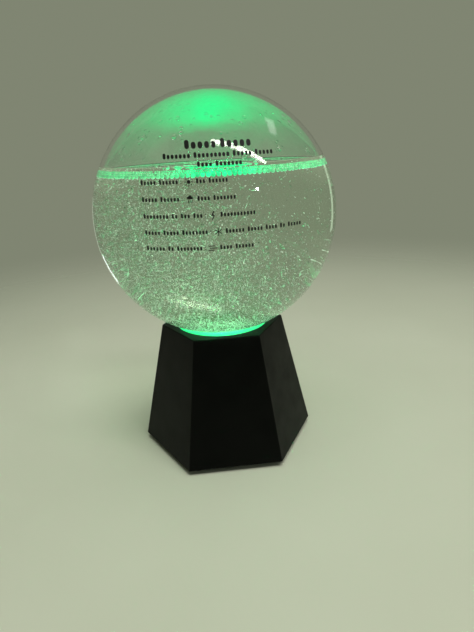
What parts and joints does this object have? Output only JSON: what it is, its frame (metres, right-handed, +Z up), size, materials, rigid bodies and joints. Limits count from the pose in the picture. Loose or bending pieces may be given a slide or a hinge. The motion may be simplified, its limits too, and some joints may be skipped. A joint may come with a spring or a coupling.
{
  "type": "storm glass",
  "caption": "Sealed glass globe of crystal-forming liquid that lifts and turns on a hexagonal battery base with a lit seat.",
  "frame": {"origin": "on the surface that the feet stand on, on the axis of the hexagonal base", "axes": "+Z up along the axis of base and globe; -Y towards the printed front; two corners of the hexagon on +X and -X"},
  "size_m": [0.1, 0.1001, 0.154],
  "materials": {
    "black_plastic": "satin",
    "button_plastic": "gloss",
    "foot_rubber": "matte",
    "screw_steel": "satin",
    "cell_sleeve": "gloss",
    "contact_nickel": "satin",
    "switch_plastic": "satin",
    "board_laminate": "satin",
    "led_package": "gloss",
    "chip_plastic": "matte",
    "resistor_ceramic": "satin",
    "reflector_white": "satin",
    "diffuser_frosted": "satin",
    "seat_silicone": "satin",
    "red_insulation": "satin",
    "black_insulation": "satin",
    "yellow_insulation": "satin",
    "clear_glass": "polished",
    "stopper_silicone": "satin",
    "storm_liquid": "gloss",
    "camphor_crystal": "satin",
    "black_ink": "matte"
  },
  "bodies": {
    "base": {"base_shell": "black_plastic", "bottom_cover": "black_plastic", "foot_1": "foot_rubber", "foot_2": "foot_rubber", "foot_3": "foot_rubber", "cover_screws": "screw_steel", "board_screws": "screw_steel", "switch_screws": "screw_steel", "cell_1": "cell_sleeve", "cell_2": "cell_sleeve", "cell_3": "cell_sleeve", "positive_contact": "contact_nickel", "negative_contact": "contact_nickel", "bridge_contact_1": "contact_nickel", "bridge_contact_2": "contact_nickel", "push_switch": "switch_plastic", "switch_board": "board_laminate", "led_board": "board_laminate", "led_1": "led_package", "led_2": "led_package", "led_3": "led_package", "led_4": "led_package", "controller_chip": "chip_plastic", "resistor_1": "resistor_ceramic", "resistor_2": "resistor_ceramic", "resistor_3": "resistor_ceramic", "reflector": "reflector_white", "diffuser": "diffuser_frosted", "battery_wire": "red_insulation", "ground_wire": "black_insulation", "switch_wire": "yellow_insulation"},
    "door": {"battery_door": "black_plastic"},
    "button": {"button_cap": "button_plastic"},
    "seat": {"seat_ring": "seat_silicone"},
    "globe": {"glass_globe": "clear_glass", "filling_stopper": "stopper_silicone", "solution": "storm_liquid", "crystal_bed": "camphor_crystal", "weather_print": "black_ink"}
  },
  "joints": [
    {"name": "door_hinge", "type": "hinge", "parent": "base", "child": "door", "pos_m": [-0.0244, 0, 0.00355], "axis": [0, 1, 0], "range_deg": [0, 90]},
    {"name": "button_press", "type": "slide", "parent": "base", "child": "button", "axis": [0, -0.9805, -0.1967], "range_m": [0, 0.0012], "stiffness_N_per_m": 800, "springref_m": -0.0006},
    {"name": "seat_turn", "type": "hinge", "parent": "base", "child": "seat", "pos_m": [0, 0, 0.055], "axis": [0, 0, 1], "continuous": true},
    {"name": "globe_lift", "type": "slide", "parent": "seat", "child": "globe", "axis": [0, 0, 1], "range_m": [0, 0.06]}
  ]
}
